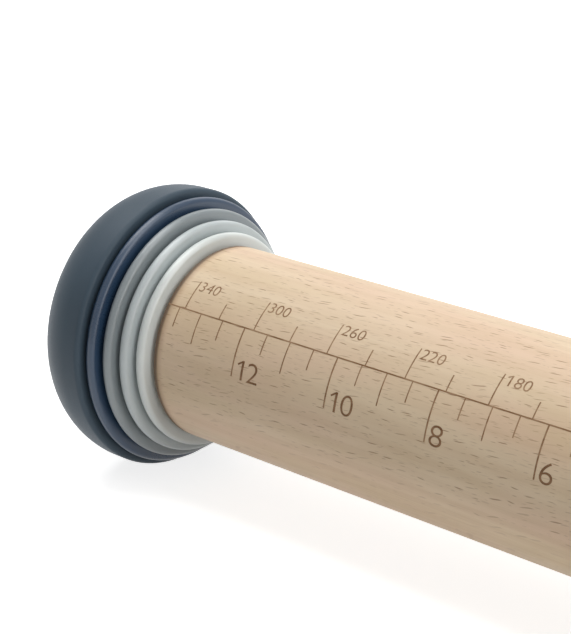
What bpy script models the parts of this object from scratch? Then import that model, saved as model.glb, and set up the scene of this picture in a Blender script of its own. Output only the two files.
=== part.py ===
# Adjustable rolling pin: a beech barrel, five pairs of thickness discs and two screw-in end knobs.
# Lengths are in metres. X runs along the pin, Z is up and the origin is the middle of the barrel.
# Each end is modelled once, pointing along +X, and the left end is the same end turned about Z.
import math

import bmesh
import bpy
from mathutils import Matrix, Vector

# Barrel
barrel_length = 0.351
barrel_radius = 0.022
barrel_edge_round = 0.0008

# Discs, counted from the barrel outwards. A disc's height is what it adds to the barrel's radius,
# the thickness of the rolled dough. The end disc's rim is flat at first and then crowned.
thin_disc_heights = {"disc_1": 0.0026, "disc_2": 0.0047, "disc_3": 0.0068, "disc_4": 0.0089}
thin_disc_thickness = 0.0027
thin_disc_edge_round = 0.0011
thin_disc_seat_radius = 0.0185
thin_disc_seat_height = 0.0004
end_disc_height = 0.0105
end_disc_thickness = 0.0134
end_disc_inner_round = 0.0006
end_disc_rim_width = 0.0042
end_disc_crown_radius = 0.0142
end_disc_chamfer = 0.0009
moulding_wall = 0.0032
rim_wall_thickness = 0.004
rib_thickness = 0.0018
rib_setback = 0.0003
rib_root = 0.0005

# Clearances
seat_gap = 0.0003
bore_gap = 0.0003
rim_gap = 0.0006

# End knob, with its hub, flange and fluted grip
hub_radius = 0.0117
hub_lead_in = 0.0006
flange_width = 0.0083
flange_thickness = 0.0024
grip_inset = 0.003
grip_height = 0.0098
grip_taper = 0.0006
grip_foot_round = 0.0012
grip_edge_round = 0.0035
flute_depth = 0.0017
knob_floor = 0.005
knob_rim_width = 0.0026

# Cover in the end of the knob
cover_thickness = 0.0022
cover_edge_round = 0.0004

# Washer under the knob's flange
washer_thickness = 0.0012

# Stud, and the insert that it screws into
stud_radius = 0.006
stud_lead_in = 0.001
stud_tip_gap = 0.0008
insert_length = 0.030
insert_radius = 0.0105
insert_floor = 0.0022
insert_flange_radius = 0.014
insert_flange_thickness = 0.0027
insert_flange_stand = 0.0005
barb_depth = 0.0007
barb_pitch = 0.007

# Counts, angles and the distance under which points are one
large_sides = 40
disc_sides = 36
knob_sides = 36
small_sides = 24
stud_sides = 20
edge_steps = 2
end_round_steps = 3
crown_steps = 4
rib_count = 8
flute_count = 6
barb_count = 3
sharp_angle = math.radians(35)
weld_distance = 0.000001

# Places along the axis, from the middle of the pin outwards
barrel_end = barrel_length / 2
insert_end = barrel_end + insert_flange_stand
stack_start = insert_end + seat_gap
thin_disc_pitch = thin_disc_thickness + seat_gap
end_disc_start = stack_start + len(thin_disc_heights) * thin_disc_pitch
end_disc_end = end_disc_start + end_disc_thickness
recess_floor = end_disc_end - flange_thickness - washer_thickness - 2 * seat_gap
washer_start = recess_floor + seat_gap
flange_start = end_disc_end - flange_thickness
pin_end = end_disc_end + grip_height
cover_start = pin_end - cover_thickness
stud_seat = cover_start - seat_gap - knob_floor
insert_start = insert_end - insert_length
stud_start = insert_start + insert_floor + stud_tip_gap

# Radii that follow from a neighbour
disc_bore = hub_radius + bore_gap
stud_bore = stud_radius + bore_gap
flange_radius = hub_radius + flange_width
grip_radius = flange_radius - grip_inset
grip_end_radius = grip_radius - grip_taper
grip_rim_radius = grip_end_radius - grip_edge_round
cover_pocket = grip_rim_radius - knob_rim_width
cover_radius = cover_pocket - bore_gap
recess_radius = flange_radius + rim_gap
end_disc_radius = barrel_radius + end_disc_height

# Colour, roughness and metallic value of each material
finishes = {
    "beech": ((0.72, 0.54, 0.37), 0.55, 0.0),
    "disc_1": ((0.63, 0.67, 0.63), 0.4, 0.0),
    "disc_2": ((0.48, 0.54, 0.55), 0.4, 0.0),
    "disc_3": ((0.30, 0.33, 0.34), 0.4, 0.0),
    "disc_4": ((0.048, 0.080, 0.15), 0.4, 0.0),
    "slate": ((0.13, 0.15, 0.18), 0.5, 0.0),
    "cover": ((0.16, 0.18, 0.21), 0.45, 0.0),
    "steel": ((0.60, 0.61, 0.62), 0.3, 1.0),
    "nylon": ((0.75, 0.74, 0.70), 0.5, 0.0),
    "washer": ((0.05, 0.05, 0.055), 0.7, 0.0),
}


def clear_scene():
    for thing in list(bpy.data.objects):
        bpy.data.objects.remove(thing, do_unlink=True)


def make_material(name):
    colour, roughness, metallic = finishes[name]
    material = bpy.data.materials.new(name)
    material.use_nodes = True
    shader = material.node_tree.nodes["Principled BSDF"]
    shader.inputs["Base Color"].default_value = (*colour, 1)
    shader.inputs["Roughness"].default_value = roughness
    shader.inputs["Metallic"].default_value = metallic
    return material


def arc(centre_x, centre_r, radius, first, last, steps):
    # Points from one angle to another, in degrees, counted from +X towards larger radii
    angles = [math.radians(first + (last - first) * i / steps) for i in range(steps + 1)]
    return [(centre_x + radius * math.cos(a), centre_r + radius * math.sin(a)) for a in angles]


def turned(name, outline, sides, start):
    # Spins an outline of (x, radius) points round the X axis. The mesh's own zero lies at start.
    # Half a step of turn puts a flat, and not a corner, at the top and at the bottom.
    mesh = bpy.data.meshes.new(name)
    bm = bmesh.new()
    half_step = Matrix.Rotation(math.pi / sides, 4, "X")
    verts = [bm.verts.new(half_step @ Vector((x - start, 0, r))) for x, r in outline]
    edges = [bm.edges.new(pair) for pair in zip(verts, verts[1:])]
    if outline[0][1] > 0:
        edges.append(bm.edges.new((verts[-1], verts[0])))
    bmesh.ops.spin(bm, geom=verts + edges, cent=(0, 0, 0), axis=(1, 0, 0), angle=2 * math.pi,
                   steps=sides, use_merge=True, use_duplicate=False)
    bmesh.ops.remove_doubles(bm, verts=bm.verts, dist=weld_distance)
    bmesh.ops.recalc_face_normals(bm, faces=bm.faces)
    bm.to_mesh(mesh)
    bm.free()
    mesh.shade_smooth()
    mesh.set_sharp_from_angle(angle=sharp_angle)
    return mesh


def barrel_mesh():
    # Each end has a pocket for the insert's body and a shallow one for its flange
    body_pocket = insert_radius + bore_gap
    flange_pocket = insert_flange_radius + bore_gap
    pocket_floor = insert_start - seat_gap
    flange_floor = insert_end - insert_flange_thickness - seat_gap
    half = [
        (pocket_floor, 0),
        (pocket_floor, body_pocket),
        (flange_floor, body_pocket),
        (flange_floor, flange_pocket),
        (barrel_end, flange_pocket),
    ]
    half += arc(barrel_end - barrel_edge_round, barrel_radius - barrel_edge_round,
                barrel_edge_round, 0, 90, edge_steps)
    other_half = [(-x, r) for x, r in reversed(half)]
    return turned("barrel", half + other_half, large_sides, 0)


def insert_mesh():
    # Saw-tooth barbs rise towards the flange, so that the insert can't pull out of the wood. The flange
    # stands a little proud of the barrel's end, and the first disc seats on it.
    root = insert_radius - barb_depth
    flange_inner = insert_end - insert_flange_thickness
    outline = [(insert_start, 0)]
    for i in range(barb_count):
        tooth_start = insert_start + i * barb_pitch
        outline += [(tooth_start, root), (tooth_start + barb_pitch, insert_radius)]
    outline += [
        (insert_start + barb_count * barb_pitch, root),
        (flange_inner, root),
        (flange_inner, insert_flange_radius),
        (insert_end, insert_flange_radius),
        (insert_end, stud_bore),
        (insert_start + insert_floor, stud_bore),
        (insert_start + insert_floor, 0),
    ]
    return turned("threaded_insert", outline, stud_sides, insert_start)


def stud_mesh():
    stud_end = stud_seat - seat_gap
    outline = [
        (stud_start, 0),
        (stud_start, stud_radius - stud_lead_in),
        (stud_start + stud_lead_in, stud_radius),
        (stud_end, stud_radius),
        (stud_end, 0),
    ]
    return turned("stud", outline, stud_sides, stud_start)


def thin_disc_mesh(name, radius, start):
    # A ring with a rounded rim. A seat ring raised on its outer face keeps the next disc's rim off it.
    end = start + thin_disc_thickness
    rim_end = end - thin_disc_seat_height
    rim = radius - thin_disc_edge_round
    outline = [(start, disc_bore)]
    outline += arc(start + thin_disc_edge_round, rim, thin_disc_edge_round, 180, 90, edge_steps)
    outline += arc(rim_end - thin_disc_edge_round, rim, thin_disc_edge_round, 90, 0, edge_steps)
    outline += [(rim_end, thin_disc_seat_radius), (end, thin_disc_seat_radius), (end, disc_bore)]
    return turned(name, outline, disc_sides, start)


def end_disc_core():
    # Depths of the moulding's hollow back: shallow behind the recess for the knob, deep outside it
    shallow = recess_floor - moulding_wall
    deep = end_disc_end - moulding_wall
    return shallow, deep


def end_disc_mesh():
    shallow, deep = end_disc_core()
    hub_wall = disc_bore + moulding_wall
    step_wall = recess_radius + moulding_wall
    rim_wall = end_disc_radius - rim_wall_thickness
    crown_start = end_disc_start + end_disc_rim_width
    crown_reach = end_disc_end - end_disc_chamfer - crown_start
    last_angle = math.degrees(math.acos(crown_reach / end_disc_crown_radius))
    outline = [
        (end_disc_start, disc_bore),
        (end_disc_start, hub_wall),
        (shallow, hub_wall),
        (shallow, step_wall),
        (deep, step_wall),
        (deep, rim_wall),
        (end_disc_start, rim_wall),
    ]
    outline += arc(end_disc_start + end_disc_inner_round, end_disc_radius - end_disc_inner_round,
                   end_disc_inner_round, 180, 90, edge_steps)
    outline += arc(crown_start, end_disc_radius - end_disc_crown_radius,
                   end_disc_crown_radius, 90, last_angle, crown_steps)
    outline += [
        (end_disc_end, outline[-1][1] - end_disc_chamfer),
        (end_disc_end, recess_radius),
        (recess_floor, recess_radius),
        (recess_floor, disc_bore),
    ]
    return turned("end_disc", outline, large_sides, end_disc_start)


def rib_mesh():
    # Stiffening ribs across the hollow back, rooted in the hub wall, the rim wall and the floors
    shallow, deep = end_disc_core()
    inner = disc_bore + moulding_wall - rib_root
    step = recess_radius + moulding_wall - rib_root
    outer = end_disc_radius - rim_wall_thickness + rib_root
    top = end_disc_start + rib_setback
    outline = [
        (top, inner),
        (top, outer),
        (deep + rib_root, outer),
        (deep + rib_root, step),
        (shallow + rib_root, step),
        (shallow + rib_root, inner),
    ]
    mesh = bpy.data.meshes.new("end_disc_ribs")
    bm = bmesh.new()
    for i in range(rib_count):
        turn = Matrix.Rotation(2 * math.pi * (i + 0.5) / rib_count, 4, "X")
        side = [bm.verts.new((x - end_disc_start, -rib_thickness / 2, r)) for x, r in outline]
        face = bm.faces.new(side)
        grown = bmesh.ops.extrude_face_region(bm, geom=[face])["geom"]
        far_side = [v for v in grown if isinstance(v, bmesh.types.BMVert)]
        bmesh.ops.translate(bm, verts=far_side, vec=(0, rib_thickness, 0))
        bmesh.ops.transform(bm, verts=side + far_side, matrix=turn)
    bmesh.ops.recalc_face_normals(bm, faces=bm.faces)
    bm.to_mesh(mesh)
    bm.free()
    return mesh


def washer_mesh():
    washer_end = washer_start + washer_thickness
    outline = [
        (washer_start, disc_bore),
        (washer_start, flange_radius),
        (washer_end, flange_radius),
        (washer_end, disc_bore),
    ]
    return turned("washer", outline, small_sides, washer_start)


def cut_flutes(mesh, start):
    # Draws the grip in between its lobes, fading out at the foot and at the end face
    for vert in mesh.vertices:
        x = vert.co.x + start
        radius = math.hypot(vert.co.y, vert.co.z)
        foot_share = min(max((x - end_disc_end) / grip_foot_round, 0), 1)
        rim_share = min(max((radius - grip_rim_radius) / grip_edge_round, 0), 1)
        around = math.atan2(vert.co.y, vert.co.z)
        wave = (1 - math.cos(flute_count * around)) / 2
        cut = flute_depth * foot_share * rim_share * wave
        if cut > 0:
            vert.co.y *= (radius - cut) / radius
            vert.co.z *= (radius - cut) / radius


def knob_mesh():
    # Hub through the discs, flange in the recess of the end disc, and the grip outside it
    cover_floor = cover_start - seat_gap
    outline = [
        (stud_seat, 0),
        (stud_seat, stud_bore),
        (stack_start, stud_bore),
        (stack_start, hub_radius - hub_lead_in),
        (stack_start + hub_lead_in, hub_radius),
        (flange_start, hub_radius),
        (flange_start, flange_radius),
        (end_disc_end, flange_radius),
    ]
    outline += arc(end_disc_end + grip_foot_round, grip_radius + grip_foot_round,
                   grip_foot_round, 180, 270, edge_steps)
    outline += arc(pin_end - grip_edge_round, grip_rim_radius,
                   grip_edge_round, 90, 0, end_round_steps)
    outline += [
        (pin_end, cover_pocket),
        (cover_floor, cover_pocket),
        (cover_floor, 0),
    ]
    mesh = turned("end_knob", outline, knob_sides, stack_start)
    cut_flutes(mesh, stack_start)
    mesh.set_sharp_from_angle(angle=sharp_angle)
    return mesh


def cover_mesh():
    outline = [(cover_start, 0), (cover_start, cover_radius)]
    outline += arc(pin_end - cover_edge_round, cover_radius - cover_edge_round,
                   cover_edge_round, 90, 0, edge_steps)
    outline += [(pin_end, 0)]
    return turned("knob_cover", outline, small_sides, cover_start)


def place(name, mesh, start, material, parent=None):
    # The origin lies on the pin's axis, which is the axis of every joint
    thing = bpy.data.objects.new(name, mesh)
    bpy.context.scene.collection.objects.link(thing)
    thing.parent = parent
    thing.location = (start, 0, 0)
    if not mesh.materials:
        mesh.materials.append(material)
    return thing


def add_ribs(disc, mesh):
    ribs = bpy.data.objects.new(disc.name + "_ribs", mesh)
    bpy.context.scene.collection.objects.link(ribs)
    ribs.parent = disc
    ribs.hide_render = True
    ribs.display_type = "WIRE"
    join = disc.modifiers.new("ribs", "BOOLEAN")
    join.operation = "UNION"
    join.solver = "EXACT"
    join.object = ribs


def thin_discs():
    start = stack_start
    pieces = []
    for name, height in thin_disc_heights.items():
        pieces.append((name, thin_disc_mesh(name, barrel_radius + height, start), start, name))
        start += thin_disc_pitch
    return pieces


def end_pieces():
    # Name, mesh, start along the axis and material of every piece at one end
    return [
        ("threaded_insert", insert_mesh(), insert_start, "nylon"),
        ("stud", stud_mesh(), stud_start, "steel"),
        *thin_discs(),
        ("end_disc", end_disc_mesh(), end_disc_start, "slate"),
        ("washer", washer_mesh(), washer_start, "washer"),
        ("end_knob", knob_mesh(), stack_start, "slate"),
        ("knob_cover", cover_mesh(), cover_start, "cover"),
    ]


def build():
    clear_scene()
    materials = {name: make_material(name) for name in finishes}
    place("barrel", barrel_mesh(), 0, materials["beech"])
    pieces = end_pieces()
    ribs = rib_mesh()
    for side, turn in (("left", math.pi), ("right", 0)):
        end = bpy.data.objects.new(side + "_end", None)
        bpy.context.scene.collection.objects.link(end)
        end.rotation_euler.z = turn
        for name, mesh, start, finish in pieces:
            thing = place(side + "_" + name, mesh, start, materials[finish], end)
            if name == "end_disc":
                add_ribs(thing, ribs)


build()
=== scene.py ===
# An adjustable rolling pin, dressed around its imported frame. X runs along the pin and Z is up.
import math
import bmesh
import bpy
from mathutils import Matrix, Vector


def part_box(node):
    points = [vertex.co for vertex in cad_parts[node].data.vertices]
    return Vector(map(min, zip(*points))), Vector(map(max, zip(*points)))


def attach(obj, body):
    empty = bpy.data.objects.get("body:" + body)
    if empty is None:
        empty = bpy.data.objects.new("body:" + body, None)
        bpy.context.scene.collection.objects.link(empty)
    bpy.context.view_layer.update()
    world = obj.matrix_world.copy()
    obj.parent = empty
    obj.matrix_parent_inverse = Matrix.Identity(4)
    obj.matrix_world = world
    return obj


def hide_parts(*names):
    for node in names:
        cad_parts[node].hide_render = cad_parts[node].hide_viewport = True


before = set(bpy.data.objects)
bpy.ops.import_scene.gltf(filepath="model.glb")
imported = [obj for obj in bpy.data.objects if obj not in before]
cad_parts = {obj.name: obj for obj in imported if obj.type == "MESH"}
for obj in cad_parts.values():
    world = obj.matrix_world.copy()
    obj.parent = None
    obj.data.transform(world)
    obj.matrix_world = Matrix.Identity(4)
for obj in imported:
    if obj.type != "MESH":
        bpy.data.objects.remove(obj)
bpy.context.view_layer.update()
print("frame loaded")

mm = 0.001
weldDistance = 0.002 * mm
cutDistance = 0.0001 * mm
sides = {"left": Matrix.Rotation(math.pi, 4, "Z"), "right": Matrix.Identity(4)}


# Node helpers

def newMaterial(name):
    material = bpy.data.materials.new(name)
    material.use_nodes = True
    return material, material.node_tree, material.node_tree.nodes["Principled BSDF"]


def addNode(tree, kind, inputs=None, **settings):
    node = tree.nodes.new(kind)
    for key, value in settings.items():
        setattr(node, key, value)
    for key, value in (inputs or {}).items():
        if isinstance(value, bpy.types.NodeSocket):
            tree.links.new(value, node.inputs[key])
        else:
            node.inputs[key].default_value = value
    return node


def mapped(tree, scale=(1, 1, 1), turn=0.0, shift=(0, 0, 0), slant=0.0):
    # Object coordinates, shifted, turned about the pin's axis, slanted to it and then stretched
    where = addNode(tree, "ShaderNodeTexCoord").outputs["Object"]
    turned = addNode(tree, "ShaderNodeMapping",
                     {"Vector": where, "Location": shift, "Rotation": (turn, slant, 0)}).outputs[0]
    return addNode(tree, "ShaderNodeMapping", {"Vector": turned, "Scale": scale}).outputs[0]


def distanceAlong(tree, axis, turn=0.0):
    # How far a point lies from the middle along one axis, to either side
    place = addNode(tree, "ShaderNodeSeparateXYZ", {0: mapped(tree, turn=turn)}).outputs[axis]
    return combine(tree, "ABSOLUTE", place, 0.0)


def vectorMath(tree, operation, first, second=(0, 0, 0)):
    node = addNode(tree, "ShaderNodeVectorMath", {0: first, 1: second}, operation=operation)
    return node.outputs["Value" if operation == "LENGTH" else 0]


def noise(tree, where, detail=3.0, rough=0.5):
    return addNode(tree, "ShaderNodeTexNoise",
                   {"Vector": where, "Scale": 1.0, "Detail": detail, "Roughness": rough}).outputs[0]


def spread(tree, value, low, high, toLow=0.0, toHigh=1.0):
    return addNode(tree, "ShaderNodeMapRange",
                   {"Value": value, "From Min": low, "From Max": high, "To Min": toLow, "To Max": toHigh},
                   interpolation_type="SMOOTHSTEP").outputs[0]


def combine(tree, operation, first, second):
    return addNode(tree, "ShaderNodeMath", {0: first, 1: second}, operation=operation).outputs[0]


def mixed(tree, factor, first, second):
    return addNode(tree, "ShaderNodeMix", {0: factor, 6: first, 7: second}, data_type="RGBA").outputs[2]


def raised(tree, shader, height, strength, distance):
    bump = addNode(tree, "ShaderNodeBump", {"Height": height, "Strength": strength, "Distance": distance})
    tree.links.new(bump.outputs[0], shader.inputs["Normal"])


# Beech: fibres, rays and growth rings in one block of wood, so that they run on over the ends

beech = {
    "pale": (0.735, 0.585, 0.405, 1),
    "warm": (0.600, 0.425, 0.260, 1),
    "rosy": (0.710, 0.520, 0.365, 1),
    "sandy": (0.655, 0.505, 0.320, 1),
    # The ray brown also paints the discs' shadow on the wood near the barrel's ends
    "ray": (0.300, 0.165, 0.085, 1),
    # A dark brown for painted shade on the barrel's rounded end edge, in the gap beside the first disc
    "edgeShadeBrown": (0.130, 0.080, 0.045, 1),
    "endFace": (0.440, 0.290, 0.165, 1),
    "longRays": {
        "cell": (4.3 * mm, 5 * mm, 1.55 * mm),
        "half": (1.6 * mm, 4 * mm, 0.13 * mm),
        "strength": 0.8,
    },
    "shortRays": {
        "cell": (2.9 * mm, 4 * mm, 1.05 * mm),
        "half": (0.8 * mm, 3 * mm, 0.1 * mm),
        "strength": 0.45,
    },
    "raySlant": math.radians(3),
    "rayFade": {"start": 14.5 * mm, "end": 21.5 * mm, "least": 0.25},
    "pithDistance": 75 * mm,
    "ringGap": 3.2 * mm,
    "grainTurn": math.radians(39),
    # Painted shadow of the discs on the wood, fading in towards each end
    "discShadowSpan": {"start": 3.2 * mm, "end": 0.9 * mm, "most": 0.6},
    # Painted shade: the band over the rounded end edge that the dark brown covers
    "endBand": {"start": 1.7 * mm, "end": 0.9 * mm},
    "endSkin": {"start": 0.4 * mm, "end": 0.05 * mm},
    "roughness": 0.55,
}


def rayDashes(tree, settings):
    # Rays show as short thin dashes: a flat lens round the middle of each cell, fainter in some
    turn, cell, half = beech["grainTurn"], settings["cell"], settings["half"]
    wander = noise(tree, mapped(tree, (120, 120, 120), turn), 1.0)
    place = mapped(tree, (1 / cell[0], 1 / cell[1], 1 / cell[2]), turn, slant=beech["raySlant"])
    place = vectorMath(tree, "ADD", place, wander)
    cells = addNode(tree, "ShaderNodeTexVoronoi", {"Vector": place, "Scale": 1.0, "Randomness": 0.9})
    away = vectorMath(tree, "SUBTRACT", place, cells.outputs["Position"])
    away = vectorMath(tree, "MULTIPLY", away, [c / h for c, h in zip(cell, half)])
    away = vectorMath(tree, "LENGTH", away)
    tint = addNode(tree, "ShaderNodeSeparateColor", {"Color": cells.outputs["Color"]}).outputs[0]
    mask = combine(tree, "MULTIPLY", spread(tree, away, 1.0, 0.45), spread(tree, tint, 0.0, 0.9, 0.2, 1.0))
    return combine(tree, "MULTIPLY", mask, settings["strength"])


def beechMaterial():
    material, tree, shader = newMaterial("beech")
    turn = beech["grainTurn"]
    patches = noise(tree, mapped(tree, (16, 70, 70), turn), 2.0)
    drifts = noise(tree, mapped(tree, (24, 110, 110), turn, (0.3, 0.1, 0.2)), 2.0)
    fibres = noise(tree, mapped(tree, (60, 2600, 2600), turn), 4.0, 0.6)
    streaks = noise(tree, mapped(tree, (12, 520, 520), turn), 3.0)
    rays = combine(tree, "MAXIMUM", rayDashes(tree, beech["longRays"]), rayDashes(tree, beech["shortRays"]))
    # The rays are thin sheets, so they fade where the surface runs along them
    rayFade = beech["rayFade"]
    fade = spread(tree, distanceAlong(tree, 2, turn), rayFade["start"], rayFade["end"], 1.0, rayFade["least"])
    rays = combine(tree, "MULTIPLY", rays, fade)
    # Growth rings run round a pith outside the barrel. A wave of this texture is pi / 10 long at scale 1
    fromPith = vectorMath(tree, "ADD", mapped(tree, turn=turn), (0, beech["pithDistance"], 0))
    rings = addNode(tree, "ShaderNodeTexWave",
                    {"Vector": fromPith, "Scale": math.pi / 10 / beech["ringGap"], "Distortion": 5.0,
                     "Detail": 2.0, "Detail Scale": 0.25},
                    wave_type="RINGS", rings_direction="X", wave_profile="SIN").outputs["Fac"]
    tone = mixed(tree, spread(tree, patches, 0.35, 0.65), beech["pale"], beech["rosy"])
    tone = mixed(tree, spread(tree, drifts, 0.45, 0.7, 0.0, 0.7), tone, beech["sandy"])
    tone = mixed(tree, spread(tree, rings, 0.2, 1.0, 0.0, 0.22), tone, beech["warm"])
    tone = mixed(tree, spread(tree, streaks, 0.45, 0.75, 0.0, 0.30), tone, beech["warm"])
    tone = mixed(tree, spread(tree, fibres, 0.5, 0.8, 0.0, 0.14), tone, beech["ray"])
    tone = mixed(tree, rays, tone, beech["ray"])
    # Painted shadow and shade: the wood darkens towards the edges of its ends, where the discs would shade
    # it, and darker still on its rounded edge beside the first disc. The faces beyond show the growth rings
    along, edge = distanceAlong(tree, 0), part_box("barrel")[1].x
    tint, band, skin = beech["discShadowSpan"], beech["endBand"], beech["endSkin"]
    # Painted shadow: darker towards the ends, where the discs would shade the wood
    paintedDiscShadow = spread(tree, along, edge - tint["start"], edge - tint["end"], 0.0, tint["most"])
    tone = mixed(tree, paintedDiscShadow, tone, beech["ray"])
    # Painted shade: a dark band over the rounded end edge, beside the first disc
    tone = mixed(tree, spread(tree, along, edge - band["start"], edge - band["end"]), tone, beech["edgeShadeBrown"])
    face = mixed(tree, spread(tree, rings, 0.2, 1.0, 0.0, 0.5), beech["endFace"], beech["ray"])
    tone = mixed(tree, spread(tree, along, edge - skin["start"], edge - skin["end"]), tone, face)
    tree.links.new(tone, shader.inputs["Base Color"])
    gloss = spread(tree, fibres, 0.3, 0.7, beech["roughness"] - 0.05, beech["roughness"] + 0.07)
    tree.links.new(gloss, shader.inputs["Roughness"])
    height = combine(tree, "SUBTRACT", combine(tree, "MULTIPLY", fibres, 0.5), rays)
    raised(tree, shader, height, 0.35, 0.06 * mm)
    return material


def burntMaterial(name, dark, light):
    # Laser-burnt wood: deeper where the beam dwelt, and thin where the fibres are hard
    material, tree, shader = newMaterial(name)
    fade = noise(tree, mapped(tree, (260, 700, 700)), 3.0)
    fine = noise(tree, mapped(tree, (900, 4200, 4200)), 2.0)
    amount = combine(tree, "ADD", spread(tree, fade, 0.36, 0.66, 0.0, 0.75),
                     spread(tree, fine, 0.4, 0.7, 0.0, 0.25))
    tree.links.new(mixed(tree, amount, dark, light), shader.inputs["Base Color"])
    shader.inputs["Roughness"].default_value = 0.75
    shader.inputs["Specular IOR Level"].default_value = 0.25
    raised(tree, shader, fine, 0.5, 0.05 * mm)
    return material


def mouldedMaterial(name, colour, roughness, grain=0.02 * mm, grainScale=5200, shine=0.3):
    # Moulded plastic: an eroded fine grain, faint flow marks and slightly uneven gloss
    material, tree, shader = newMaterial(name)
    flow = noise(tree, mapped(tree, (60, 60, 60)), 3.0)
    fine = noise(tree, mapped(tree, (grainScale,) * 3), 2.0)
    darker = tuple(c * 0.93 for c in colour) + (1,)
    lighter = tuple(min(c * 1.05 + 0.002, 1) for c in colour) + (1,)
    tone = mixed(tree, spread(tree, flow, 0.3, 0.7), darker, lighter)
    tree.links.new(tone, shader.inputs["Base Color"])
    gloss = combine(tree, "ADD", spread(tree, flow, 0.3, 0.7, roughness - 0.03, roughness + 0.03),
                    spread(tree, fine, 0.3, 0.7, -0.04, 0.04))
    tree.links.new(gloss, shader.inputs["Roughness"])
    shader.inputs["Specular IOR Level"].default_value = shine
    raised(tree, shader, fine, 0.25, grain)
    return material


def steelMaterial():
    # Turned steel: fine rings round the axis
    material, tree, shader = newMaterial("turnedSteel")
    rings = noise(tree, mapped(tree, (5200, 40, 40)), 2.0)
    tone = mixed(tree, spread(tree, rings, 0.3, 0.7), (0.50, 0.51, 0.52, 1), (0.64, 0.65, 0.66, 1))
    tree.links.new(tone, shader.inputs["Base Color"])
    tree.links.new(spread(tree, rings, 0.3, 0.7, 0.24, 0.38), shader.inputs["Roughness"])
    shader.inputs["Metallic"].default_value = 1.0
    raised(tree, shader, rings, 0.2, 0.02 * mm)
    return material


finishes = {
    "beech": beechMaterial(),
    "burntLines": burntMaterial("burntLines", (0.225, 0.120, 0.058, 1), (0.400, 0.255, 0.150, 1)),
    "burntFigures": burntMaterial("burntFigures", (0.175, 0.088, 0.042, 1), (0.320, 0.185, 0.100, 1)),
    "disc_1": mouldedMaterial("palestDisc", (0.640, 0.675, 0.655), 0.34, shine=0.7),
    "disc_2": mouldedMaterial("lightGreyDisc", (0.465, 0.510, 0.515), 0.34, shine=0.7),
    "disc_3": mouldedMaterial("midGreyDisc", (0.220, 0.250, 0.262), 0.34, shine=0.7),
    "disc_4": mouldedMaterial("navyDisc", (0.016, 0.040, 0.082), 0.33, shine=0.6),
    "slate": mouldedMaterial("slateDisc", (0.046, 0.069, 0.092), 0.48, 0.03 * mm, 3800, 0.22),
    "cover": mouldedMaterial("slateCover", (0.062, 0.086, 0.104), 0.44),
    "nylon": mouldedMaterial("naturalNylon", (0.700, 0.680, 0.620), 0.38),
    "washer": mouldedMaterial("blackRubber", (0.022, 0.022, 0.024), 0.62),
    "steel": steelMaterial(),
}
print("materials made")


# Shape helpers

def softOutline(points, steps):
    # Rounds each corner of an outline. A point is (x, radius) or (x, radius, round)
    outline = []
    flat = [Vector(p[:2]) for p in points]
    for i, point in enumerate(points):
        if len(point) == 2:
            outline.append(flat[i])
            continue
        corner = flat[i]
        back = (flat[i - 1] - corner).normalized()
        ahead = (flat[(i + 1) % len(flat)] - corner).normalized()
        half = back.angle(ahead) / 2
        centre = corner + (back + ahead).normalized() * (point[2] / math.sin(half))
        start = corner + back * (point[2] / math.tan(half)) - centre
        sweep = start.angle_signed(corner + ahead * (point[2] / math.tan(half)) - centre)
        for step in range(steps + 1):
            turn = Matrix.Rotation(-sweep * step / steps, 2)
            outline.append(centre + turn @ start)
    return outline


def spun(outline, around, closed=True):
    # Spins an outline of (x, radius) round the pin's axis
    bm = bmesh.new()
    verts = [bm.verts.new((p[0], 0, p[1])) for p in outline]
    edges = [bm.edges.new(pair) for pair in zip(verts, verts[1:])]
    if closed:
        edges.append(bm.edges.new((verts[-1], verts[0])))
    bmesh.ops.spin(bm, geom=verts + edges, cent=(0, 0, 0), axis=(1, 0, 0), angle=2 * math.pi,
                   steps=around, use_merge=True)
    bmesh.ops.remove_doubles(bm, verts=bm.verts, dist=weldDistance)
    bmesh.ops.recalc_face_normals(bm, faces=bm.faces)
    return bm


def finishPiece(name, bm, body, finish, replaced=None, turn=None, sharp=32):
    if turn is not None:
        bmesh.ops.transform(bm, matrix=turn, verts=bm.verts)
    mesh = bpy.data.meshes.new(name)
    bm.to_mesh(mesh)
    bm.free()
    mesh.shade_smooth()
    mesh.set_sharp_from_angle(angle=math.radians(sharp))
    mesh.materials.append(finishes[finish])
    piece = bpy.data.objects.new(name, mesh)
    bpy.context.scene.collection.objects.link(piece)
    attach(piece, body)
    if replaced:
        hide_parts(replaced)


def alongX(node):
    # Where a right-hand node starts and ends along the pin
    low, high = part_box("right_" + node)
    return low.x, high.x


def bothEnds(name, make, body, finish, sharp=32):
    for side, turn in sides.items():
        title = side + "".join(word.capitalize() for word in name.split("_")) + "Shape"
        finishPiece(title, make(), side + "_" + body, finish, side + "_" + name, turn, sharp)


# Barrel, with a pocket in each end for the insert

barrel = {
    "radius": 22.0 * mm,
    "edgeRound": 0.7 * mm,
    "pocketRound": 0.3 * mm,
    "bodyPocket": 10.8 * mm,
    "flangePocket": 14.3 * mm,
    "flangeDepth": 2.5 * mm,
    "pocketDepth": 29.8 * mm,
    "steps": 5,
    "around": 224,
}


def makeBarrel():
    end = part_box("barrel")[1].x
    floor, step = end - barrel["pocketDepth"], end - barrel["flangeDepth"]
    half = [
        (floor, 0),
        (floor, barrel["bodyPocket"]),
        (step, barrel["bodyPocket"]),
        (step, barrel["flangePocket"]),
        (end, barrel["flangePocket"], barrel["pocketRound"]),
        (end, barrel["radius"], barrel["edgeRound"]),
    ]
    whole = half + [(-p[0], *p[1:]) for p in reversed(half)]
    return spun(softOutline(whole, barrel["steps"]), barrel["around"], closed=False)


finishPiece("beechBarrel", makeBarrel(), "barrel", "beech", "barrel")
print("barrel made")


# Ruler burnt into the barrel. It counts from the middle of the pin as a diameter does, so a mark
# stands at half its number. Inches hang below the line and millimetres stand above it.

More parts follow.
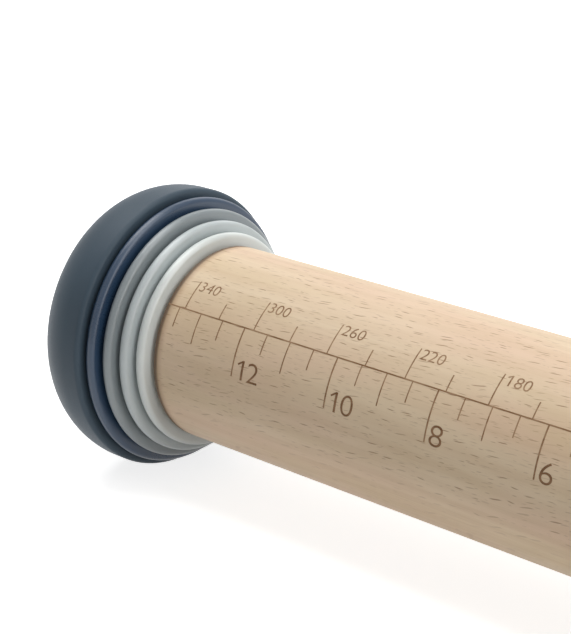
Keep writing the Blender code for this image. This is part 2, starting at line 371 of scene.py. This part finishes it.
ruler = {
    "turn": math.radians(-51.355),
    "inch": 12.7 * mm,
    "millimetre": 0.5 * mm,
    "lineWidth": 0.30 * mm,
    "markWidth": 0.27 * mm,
    "longMarkWidth": 0.34 * mm,
    "halfInchMark": 4.45 * mm,
    "inchMark": 6.8 * mm,
    "numberedInchMark": 10.6 * mm,
    "shortMark": 3.65 * mm,
    "numberedMark": 7.1 * mm,
    "endMargin": 0.75 * mm,
    "millimetreStep": 20,
    "inchFigure": {
        "numbers": range(0, 14, 2),
        "foot": -10.9 * mm,
        "height": 4.25 * mm,
        "widen": 1.18,
        "spacing": 0.80,
        "stroke": -0.012,
        "gap": 1.0 * mm,
        "armGap": 1.45 * mm,
        "armReach": 1.32 * mm,
        "armDrop": 0.85 * mm,
        "armWidth": 0.38 * mm,
    },
    "millimetreFigure": {
        "numbers": range(20, 350, 40),
        "foot": 4.75 * mm,
        "height": 2.5 * mm,
        "widen": 1.08,
        "spacing": 1.0,
        "stroke": -0.008,
        "gap": 0.8 * mm,
        "armGap": 0.9 * mm,
        "armReach": 0.85 * mm,
        "armDrop": 0.53 * mm,
        "armWidth": 0.26 * mm,
    },
    "depth": 0.03 * mm,
    "sink": 0.02 * mm,
    "slice": 0.5 * mm,
}


def wrapOntoBarrel(bm):
    # The flat drawing has X along the pin, Y round it and Z out of it
    reach = max(abs(v.co.y) for v in bm.verts)
    cuts = int(reach / ruler["slice"]) + 1
    for i in range(-cuts, cuts + 1):
        bmesh.ops.bisect_plane(bm, geom=bm.verts[:] + bm.edges[:] + bm.faces[:], dist=cutDistance,
                               plane_co=(0, i * ruler["slice"], 0), plane_no=(0, 1, 0))
    for v in bm.verts:
        angle = v.co.y / barrel["radius"] + ruler["turn"]
        radius = barrel["radius"] + v.co.z
        v.co = (v.co.x, radius * math.sin(angle), radius * math.cos(angle))
    bmesh.ops.recalc_face_normals(bm, faces=bm.faces)


def addMark(bm, x, y, width, height):
    # One burnt stroke as a thin slab, from its lower left corner
    slab = bmesh.ops.create_cube(bm, size=1)["verts"]
    thick = ruler["depth"] + ruler["sink"]
    place = Matrix.Translation((x + width / 2, y + height / 2, ruler["depth"] - thick / 2))
    bmesh.ops.transform(bm, matrix=place @ Matrix.Diagonal((width, height, thick, 1)), verts=slab)


def addArm(bm, x, top, style):
    # The type's 1 is a plain bar, so it gets an arm, which slopes down to the left from its top
    arm = bmesh.ops.create_cube(bm, size=1)["verts"]
    thick = ruler["depth"] + ruler["sink"]
    width, reach, drop = style["armWidth"], style["armReach"], style["armDrop"]
    middle = (x + (width - reach) / 2, top - (width + drop) / 2, ruler["depth"] - thick / 2)
    slope = Matrix.Rotation(math.atan2(drop, reach), 4, "Z")
    size = Matrix.Diagonal((math.hypot(reach, drop), width, thick, 1))
    bmesh.ops.transform(bm, matrix=Matrix.Translation(middle) @ slope @ size, verts=arm)


def addFigures(bm, number, x, style, align):
    # Type stands on the style's foot and starts, or ends, at x
    curve = bpy.data.curves.new("figures", "FONT")
    curve.body = str(number)
    curve.align_x = align
    curve.extrude = 0.5
    curve.offset = style["stroke"]
    curve.space_character = style["spacing"]
    curve.resolution_u = 5
    thing = bpy.data.objects.new("figures", curve)
    bpy.context.scene.collection.objects.link(thing)
    bpy.context.view_layer.update()
    flat = bpy.data.meshes.new_from_object(thing)
    bpy.data.objects.remove(thing)
    top = max(v.co.y for v in flat.vertices)
    edge = (max if align == "RIGHT" else min)(v.co.x for v in flat.vertices)
    size, thick = style["height"] / top, ruler["depth"] + ruler["sink"]
    flat.transform(Matrix.Translation((-edge, 0, 0)))
    flat.transform(Matrix.Diagonal((size * style["widen"], size, thick, 1)))
    flat.transform(Matrix.Translation((x, style["foot"], ruler["depth"] - thick / 2)))
    bm.from_mesh(flat)
    if curve.body.startswith("1"):
        addArm(bm, min(v.co.x for v in flat.vertices), style["foot"] + style["height"], style)
    bpy.data.meshes.remove(flat)


def makeRulerLines():
    # A mark is centred on its place, and the same marks run both ways from the middle
    bm = bmesh.new()
    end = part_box("barrel")[1].x - ruler["endMargin"]
    addMark(bm, -end, -ruler["lineWidth"] / 2, 2 * end, ruler["lineWidth"])
    for i in range(int(2 * end / ruler["inch"]) + 1):
        x = i * ruler["inch"] / 2
        height = ruler["halfInchMark"] if i % 2 else ruler["inchMark"]
        width = ruler["markWidth"]
        if i % 4 == 0:
            height, width = ruler["numberedInchMark"], ruler["longMarkWidth"]
        for place in sorted({-x, x}):
            addMark(bm, place - width / 2, -height, width, height)
    step = ruler["millimetreStep"] * ruler["millimetre"]
    for i in range(int(end / step) + 1):
        x = i * step
        height = ruler["numberedMark"] if i % 2 else ruler["shortMark"]
        for place in sorted({-x, x}):
            addMark(bm, place - ruler["markWidth"] / 2, 0, ruler["markWidth"], height)
    wrapOntoBarrel(bm)
    return bm


def makeFigures(unit, style):
    # Each number stands beside its mark, on the side towards the middle of the pin
    bm = bmesh.new()
    for number in style["numbers"]:
        place = number * unit - style["gap"]
        start = style["armGap"] if str(number).startswith("1") else 0
        addFigures(bm, number, start - place, style, "LEFT")
        if number:
            addFigures(bm, number, place, style, "RIGHT")
    wrapOntoBarrel(bm)
    return bm


inchFigures = makeFigures(ruler["inch"], ruler["inchFigure"])
millimetreFigures = makeFigures(ruler["millimetre"], ruler["millimetreFigure"])
finishPiece("rulerLines", makeRulerLines(), "barrel", "burntLines")
finishPiece("inchFigures", inchFigures, "barrel", "burntFigures")
finishPiece("millimetreFigures", millimetreFigures, "barrel", "burntLines")
print("ruler burnt in")


# Discs

thinDisc = {
    "radii": {"disc_1": 24.6 * mm, "disc_2": 26.7 * mm, "disc_3": 28.8 * mm, "disc_4": 30.9 * mm},
    "bore": 12.0 * mm,
    "edgeRound": 1.1 * mm,
    "boreRound": 0.3 * mm,
    "seatRadius": 18.5 * mm,
    "seatHeight": 0.4 * mm,
    "seatRound": 0.15 * mm,
    "steps": 8,
    "around": 200,
}
endDisc = {
    "radius": 32.5 * mm,
    "innerRound": 1.1 * mm,
    "rimWidth": 4.2 * mm,
    "crown": 14.2 * mm,
    "crownPoints": 24,
    "outerRound": 1.3 * mm,
    "recessRadius": 20.6 * mm,
    "recessDepth": 4.2 * mm,
    "wall": 3.2 * mm,
    "rimWall": 4.0 * mm,
    "mouldRound": 0.5 * mm,
    "ribs": 8,
    "ribThickness": 1.8 * mm,
    "ribSetback": 0.3 * mm,
    "ribRoot": 0.5 * mm,
}


def makeThinDisc(node):
    # A seat ring on the outer face keeps the next disc's rim off this one
    start, end = alongX(node)
    rimEnd = end - thinDisc["seatHeight"]
    radius = thinDisc["radii"][node]
    outline = [
        (start, thinDisc["bore"], thinDisc["boreRound"]),
        (start, radius, thinDisc["edgeRound"]),
        (rimEnd, radius, thinDisc["edgeRound"]),
        (rimEnd, thinDisc["seatRadius"], thinDisc["seatRound"]),
        (end, thinDisc["seatRadius"], thinDisc["seatRound"]),
        (end, thinDisc["bore"], thinDisc["boreRound"]),
    ]
    return spun(softOutline(outline, thinDisc["steps"]), thinDisc["around"])


def endDiscDepths():
    start, end = alongX("end_disc")
    return start, end - endDisc["recessDepth"] - endDisc["wall"], end - endDisc["wall"], end


def makeEndDisc():
    # Recessed outside for the knob and hollow inside, behind the thin discs. The rim is flat at first
    # and then crowned.
    start, shallow, deep, end = endDiscDepths()
    soft, wall = endDisc["mouldRound"], endDisc["wall"]
    hubWall, rimWall = thinDisc["bore"] + wall, endDisc["radius"] - endDisc["rimWall"]
    crownStart, crown = start + endDisc["rimWidth"], endDisc["crown"]
    crownFoot = endDisc["radius"] - crown
    lastAngle = math.acos((end - crownStart) / crown)
    sweep = [math.pi / 2 + (lastAngle - math.pi / 2) * i / endDisc["crownPoints"]
             for i in range(endDisc["crownPoints"])]
    outline = [
        (start, thinDisc["bore"], thinDisc["boreRound"]),
        (start, hubWall, thinDisc["boreRound"]),
        (shallow, hubWall, soft),
        (shallow, endDisc["recessRadius"] + wall, soft),
        (deep, endDisc["recessRadius"] + wall, soft),
        (deep, rimWall, soft),
        (start, rimWall, thinDisc["boreRound"]),
        (start, endDisc["radius"], endDisc["innerRound"]),
        *[(crownStart + crown * math.cos(a), crownFoot + crown * math.sin(a)) for a in sweep],
        (end, crownFoot + crown * math.sin(lastAngle), endDisc["outerRound"]),
        (end, endDisc["recessRadius"], soft),
        (end - endDisc["recessDepth"], endDisc["recessRadius"], soft),
        (end - endDisc["recessDepth"], thinDisc["bore"], thinDisc["boreRound"]),
    ]
    return spun(softOutline(outline, thinDisc["steps"]), thinDisc["around"])


def makeRibs():
    start, shallow, deep, end = endDiscDepths()
    root, wall = endDisc["ribRoot"], endDisc["wall"]
    inner = thinDisc["bore"] + wall - root
    step = endDisc["recessRadius"] + wall - root
    outer = endDisc["radius"] - endDisc["rimWall"] + root
    top = start + endDisc["ribSetback"]
    outline = [(top, inner), (top, outer), (deep + root, outer), (deep + root, step),
               (shallow + root, step), (shallow + root, inner)]
    bm = bmesh.new()
    for i in range(endDisc["ribs"]):
        face = bm.faces.new([bm.verts.new((x, -endDisc["ribThickness"] / 2, r)) for x, r in outline])
        near = list(face.verts)
        grown = bmesh.ops.extrude_face_region(bm, geom=[face])["geom"]
        far = [v for v in grown if isinstance(v, bmesh.types.BMVert)]
        bmesh.ops.translate(bm, verts=far, vec=(0, endDisc["ribThickness"], 0))
        turn = Matrix.Rotation(2 * math.pi * (i + 0.5) / endDisc["ribs"], 4, "X")
        bmesh.ops.transform(bm, verts=near + far, matrix=turn)
    bmesh.ops.recalc_face_normals(bm, faces=bm.faces)
    return bm


def joinedWithRibs():
    # The ribs are joined to the moulding and the result is applied
    things = []
    for name, bm in (("discBody", makeEndDisc()), ("discRibs", makeRibs())):
        mesh = bpy.data.meshes.new(name)
        bm.to_mesh(mesh)
        bm.free()
        thing = bpy.data.objects.new(name, mesh)
        bpy.context.scene.collection.objects.link(thing)
        things.append(thing)
    join = things[0].modifiers.new("ribs", "BOOLEAN")
    join.operation, join.solver, join.object = "UNION", "EXACT", things[1]
    solid = things[0].evaluated_get(bpy.context.evaluated_depsgraph_get())
    bm = bmesh.new()
    bm.from_mesh(solid.to_mesh())
    solid.to_mesh_clear()
    for thing in things:
        bpy.data.objects.remove(thing)
    return bm


for disc in thinDisc["radii"]:
    bothEnds(disc, lambda: makeThinDisc(disc), disc, disc)
bothEnds("end_disc", joinedWithRibs, "end_disc", "slate")
print("discs made")


# Knob, cover and washer

knob = {
    "hub": 11.7 * mm,
    "hubRound": 0.6 * mm,
    "flange": 20.0 * mm,
    "flangeThickness": 2.4 * mm,
    "flangeRound": 0.5 * mm,
    "grip": 17.0 * mm,
    "gripTaper": 0.6 * mm,
    "footRound": 1.2 * mm,
    "edgeRound": 3.5 * mm,
    "pocket": 10.3 * mm,
    "pocketDepth": 2.5 * mm,
    "pocketRound": 0.25 * mm,
    "studBore": 6.3 * mm,
    "seatGap": 0.3 * mm,
    "flutes": 6,
    "fluteDepth": 1.7 * mm,
    "rows": 7,
    "steps": 8,
    "around": 240,
}
cover = {
    "radius": 10.0 * mm,
    "backRound": 0.2 * mm,
    "edgeRound": 0.5 * mm,
    "dish": 0.35 * mm,
    "dishRadius": 8.2 * mm,
    "dishRound": 0.3 * mm,
    "centre": 3.2 * mm,
    "steps": 6,
    "around": 128,
}
washer = {"bore": 12.0 * mm, "radius": 20.0 * mm, "round": 0.45 * mm, "steps": 5, "around": 160}


def makeKnob():
    start, end = alongX("end_knob")
    face = alongX("end_disc")[1]
    gripEnd = knob["grip"] - knob["gripTaper"]
    seat = alongX("stud")[1] + knob["seatGap"]
    outline = [
        (seat, 0),
        (seat, knob["studBore"]),
        (start, knob["studBore"], knob["pocketRound"]),
        (start, knob["hub"], knob["hubRound"]),
        (face - knob["flangeThickness"], knob["hub"], knob["flangeRound"]),
        (face - knob["flangeThickness"], knob["flange"], knob["flangeRound"]),
        (face, knob["flange"], knob["flangeRound"]),
        (face, knob["grip"], knob["footRound"]),
    ]
    wallStart, wallEnd = face + knob["footRound"], end - knob["edgeRound"]
    for i in range(1, knob["rows"]):
        along = i / knob["rows"]
        outline.append((wallStart + (wallEnd - wallStart) * along, knob["grip"] - knob["gripTaper"] * along))
    outline += [
        (end, gripEnd, knob["edgeRound"]),
        (end, knob["pocket"], knob["pocketRound"]),
        (end - knob["pocketDepth"], knob["pocket"]),
        (end - knob["pocketDepth"], 0),
    ]
    bm = spun(softOutline(outline, knob["steps"]), knob["around"], closed=False)
    rim = gripEnd - knob["edgeRound"]
    for v in bm.verts:
        radius = math.hypot(v.co.y, v.co.z)
        foot = min(max((v.co.x - face) / knob["footRound"], 0), 1)
        fade = min(max((radius - rim) / knob["edgeRound"], 0), 1)
        wave = (1 - math.cos(knob["flutes"] * math.atan2(v.co.y, v.co.z))) / 2
        cut = knob["fluteDepth"] * foot * fade * wave
        if cut > 0:
            v.co.yz = v.co.yz * ((radius - cut) / radius)
    return bm


def makeCover():
    # A shallow dish with a raised centre, flush with the end of the knob
    start, end = alongX("knob_cover")
    dish, soft = end - cover["dish"], cover["dishRound"]
    outline = [
        (start, 0),
        (start, cover["radius"], cover["backRound"]),
        (end, cover["radius"], cover["edgeRound"]),
        (end, cover["dishRadius"], soft),
        (dish, cover["dishRadius"] - cover["dish"], soft),
        (dish, cover["centre"] + cover["dish"], soft),
        (end, cover["centre"], soft),
        (end, 0),
    ]
    return spun(softOutline(outline, cover["steps"]), cover["around"], closed=False)


def makeWasher():
    start, end = alongX("washer")
    outline = [
        (start, washer["bore"], washer["round"]),
        (start, washer["radius"], washer["round"]),
        (end, washer["radius"], washer["round"]),
        (end, washer["bore"], washer["round"]),
    ]
    return spun(softOutline(outline, washer["steps"]), washer["around"])


bothEnds("end_knob", makeKnob, "knob", "slate", 40)
bothEnds("knob_cover", makeCover, "knob", "cover")
bothEnds("washer", makeWasher, "washer", "washer")
print("knobs made")


# Stud and insert, with a three-start thread

thread = {
    "lead": 9.0 * mm,
    "starts": 3,
    "depth": 0.85 * mm,
    "row": 0.3 * mm,
    "around": 96,
    "runOut": 1.6 * mm,
    "crestBand": 0.1 * mm,
}
stud = {"radius": 6.0 * mm, "leadIn": 1.0 * mm, "threadEnd": 180.0 * mm}
insert = {
    "radius": 10.5 * mm,
    "bore": 6.15 * mm,
    "floor": 2.2 * mm,
    "flange": 14.0 * mm,
    "flangeThickness": 2.7 * mm,
    "barbs": 3,
    "barbDepth": 0.7 * mm,
    "barbPitch": 7.0 * mm,
    "round": 0.25 * mm,
    "mouth": 1.0 * mm,
    "plainEnds": (1.0 * mm, 0.9 * mm),
    "steps": 3,
}


def threadDepth(x, around):
    # How far below its crest the thread lies: a trapezium, with flat crests and roots
    turns = (x / thread["lead"] - around / (2 * math.pi)) * thread["starts"] % 1
    height = min(max(abs(turns - 0.5) * 4 - 0.5, 0), 1)
    return thread["depth"] * height


def makeStud():
    start, end = alongX("stud")
    rows = int((stud["threadEnd"] - start - stud["leadIn"]) / thread["row"])
    outline = [(start, 0), (start, stud["radius"] - stud["leadIn"])]
    outline += [(start + stud["leadIn"] + i * thread["row"], stud["radius"]) for i in range(rows)]
    outline += [(end, stud["radius"]), (end, 0)]
    bm = spun(outline, thread["around"], closed=False)
    last = start + stud["leadIn"] + (rows - 1) * thread["row"]
    for v in bm.verts:
        radius = math.hypot(v.co.y, v.co.z)
        if radius > stud["radius"] - thread["crestBand"] and v.co.x < last:
            fade = min((last - v.co.x) / thread["runOut"], 1)
            cut = threadDepth(v.co.x, math.atan2(v.co.y, v.co.z)) * fade
            v.co.yz = v.co.yz * ((radius - cut) / radius)
    return bm


def makeInsert():
    start, end = alongX("threaded_insert")
    root, flange = insert["radius"] - insert["barbDepth"], end - insert["flangeThickness"]
    outline = [(start, 0)]
    for i in range(insert["barbs"]):
        tooth = start + i * insert["barbPitch"]
        outline += [(tooth, root), (tooth + insert["barbPitch"], insert["radius"])]
    outline += [
        (start + insert["barbs"] * insert["barbPitch"], root),
        (flange, root),
        (flange, insert["flange"]),
        (end, insert["flange"], insert["round"]),
        (end, insert["bore"] + insert["mouth"], insert["round"]),
    ]
    floor, mouth = start + insert["floor"], end - insert["mouth"]
    rows = int((mouth - floor) / thread["row"])
    outline += [(mouth - i * thread["row"], insert["bore"]) for i in range(rows)]
    outline += [(floor, insert["bore"]), (floor, 0)]
    bm = spun(softOutline(outline, insert["steps"]), thread["around"], closed=False)
    first, last = floor + insert["plainEnds"][0], end - insert["plainEnds"][1]
    for v in bm.verts:
        radius = math.hypot(v.co.y, v.co.z)
        if first < v.co.x < last and abs(radius - insert["bore"]) < thread["crestBand"] / 2:
            cut = thread["depth"] - threadDepth(v.co.x, math.atan2(v.co.y, v.co.z))
            v.co.yz = v.co.yz * ((radius + cut) / radius)
    return bm


bothEnds("stud", makeStud, "knob", "steel", 50)
for side, turn in sides.items():
    finishPiece(side + "ThreadedInsertShape", makeInsert(), "barrel", "nylon",
                side + "_threaded_insert", turn, 40)
print("studs and inserts made")


# Floor, light and camera

studio = {
    "floorSize": 6.0,
    "floorGap": 0.05 * mm,
    "floorColour": (0.80, 0.80, 0.80, 1),
    "floorLift": {"near": 0.80, "far": 0.97, "start": 0.35, "end": 1.2},
    "ambient": 0.04,
    "target": (-0.08, 0, 0),
    "softboxes": {
        "key": {"energy": 6.0, "size": 0.8, "place": (0.715, 0.120, 0.891)},
        "left": {"energy": 5.6, "size": 0.7, "place": (-0.700, 0.020, 1.060)},
        "top": {"energy": 6.6, "size": 0.7, "place": (-0.100, 0.060, 1.195)},
        "back": {"energy": 1.6, "size": 0.8, "place": (-0.600, 0.860, 0.600)},
        "side": {"energy": 4.6, "size": 0.8, "place": (1.107, -0.060, 0.180)},
    },
}
view = {
    "place": (99.091 * mm, -285.484 * mm, 150.808 * mm),
    "tilt": 90 - 20.118,
    "heading": 41.836,
    "focalPixels": 1881.9,
    "photoHeight": 634,
    "sensor": 36.0,
    "clip": (0.01, 20),
}


def seenDirectly(tree):
    # 1 for what the camera sees, in a reflection and through glass too, and 0 for light that bounces
    rays = addNode(tree, "ShaderNodeLightPath").outputs
    seen = combine(tree, "MAXIMUM", rays["Is Camera Ray"], rays["Is Glossy Ray"])
    return combine(tree, "MAXIMUM", seen, rays["Is Transmission Ray"])


def liftedToWhite(tree, shaderOut, strength):
    amount = combine(tree, "MULTIPLY", seenDirectly(tree), strength)
    glow = addNode(tree, "ShaderNodeEmission", {"Color": (1, 1, 1, 1), "Strength": amount}).outputs[0]
    return addNode(tree, "ShaderNodeAddShader", {0: shaderOut, 1: glow}).outputs[0]


def makeFloor():
    bm = bmesh.new()
    bmesh.ops.create_grid(bm, x_segments=1, y_segments=1, size=studio["floorSize"] / 2)
    bmesh.ops.translate(bm, verts=bm.verts, vec=(0, 0, -endDisc["radius"] - studio["floorGap"]))
    mesh = bpy.data.meshes.new("floor")
    bm.to_mesh(mesh)
    bm.free()
    material, tree, shader = newMaterial("floor")
    shader.inputs["Base Color"].default_value = studio["floorColour"]
    shader.inputs["Roughness"].default_value = 0.9
    shader.inputs["Specular IOR Level"].default_value = 0.1
    # The floor is nearly white far off and keeps the pin's shadow nearby
    lift, away = studio["floorLift"], vectorMath(tree, "LENGTH", mapped(tree))
    strength = spread(tree, away, lift["start"], lift["end"], lift["near"], lift["far"])
    output = tree.nodes["Material Output"]
    tree.links.new(liftedToWhite(tree, shader.outputs[0], strength), output.inputs["Surface"])
    mesh.materials.append(material)
    floor = bpy.data.objects.new("floor", mesh)
    bpy.context.scene.collection.objects.link(floor)


def makeWorld():
    world = bpy.data.worlds.new("studio")
    bpy.context.scene.world = world
    world.use_nodes = True
    tree = world.node_tree
    strength = addNode(tree, "ShaderNodeMapRange",
                       {"Value": seenDirectly(tree), "To Min": studio["ambient"], "To Max": 1.0}).outputs[0]
    background = tree.nodes["Background"]
    background.inputs["Color"].default_value = (1, 1, 1, 1)
    tree.links.new(strength, background.inputs["Strength"])


def addSoftbox(name, settings):
    lamp = bpy.data.lights.new(name, "AREA")
    lamp.energy = settings["energy"]
    lamp.size = settings["size"]
    thing = bpy.data.objects.new(name, lamp)
    thing.location = settings["place"]
    aim = Vector(studio["target"]) - thing.location
    thing.rotation_euler = aim.to_track_quat("-Z", "Y").to_euler()
    bpy.context.scene.collection.objects.link(thing)


def makeCamera():
    lens = bpy.data.cameras.new("camera")
    lens.sensor_width = view["sensor"]
    lens.sensor_fit = "AUTO"
    lens.lens = view["focalPixels"] / view["photoHeight"] * view["sensor"]
    lens.clip_start, lens.clip_end = view["clip"]
    camera = bpy.data.objects.new("camera", lens)
    camera.location = view["place"]
    camera.rotation_euler = (math.radians(view["tilt"]), 0, math.radians(view["heading"]))
    bpy.context.scene.collection.objects.link(camera)
    bpy.context.scene.camera = camera


makeFloor()
makeWorld()
for name, settings in studio["softboxes"].items():
    addSoftbox(name, settings)
makeCamera()
bpy.context.scene.view_settings.view_transform = "Standard"
print("studio made")
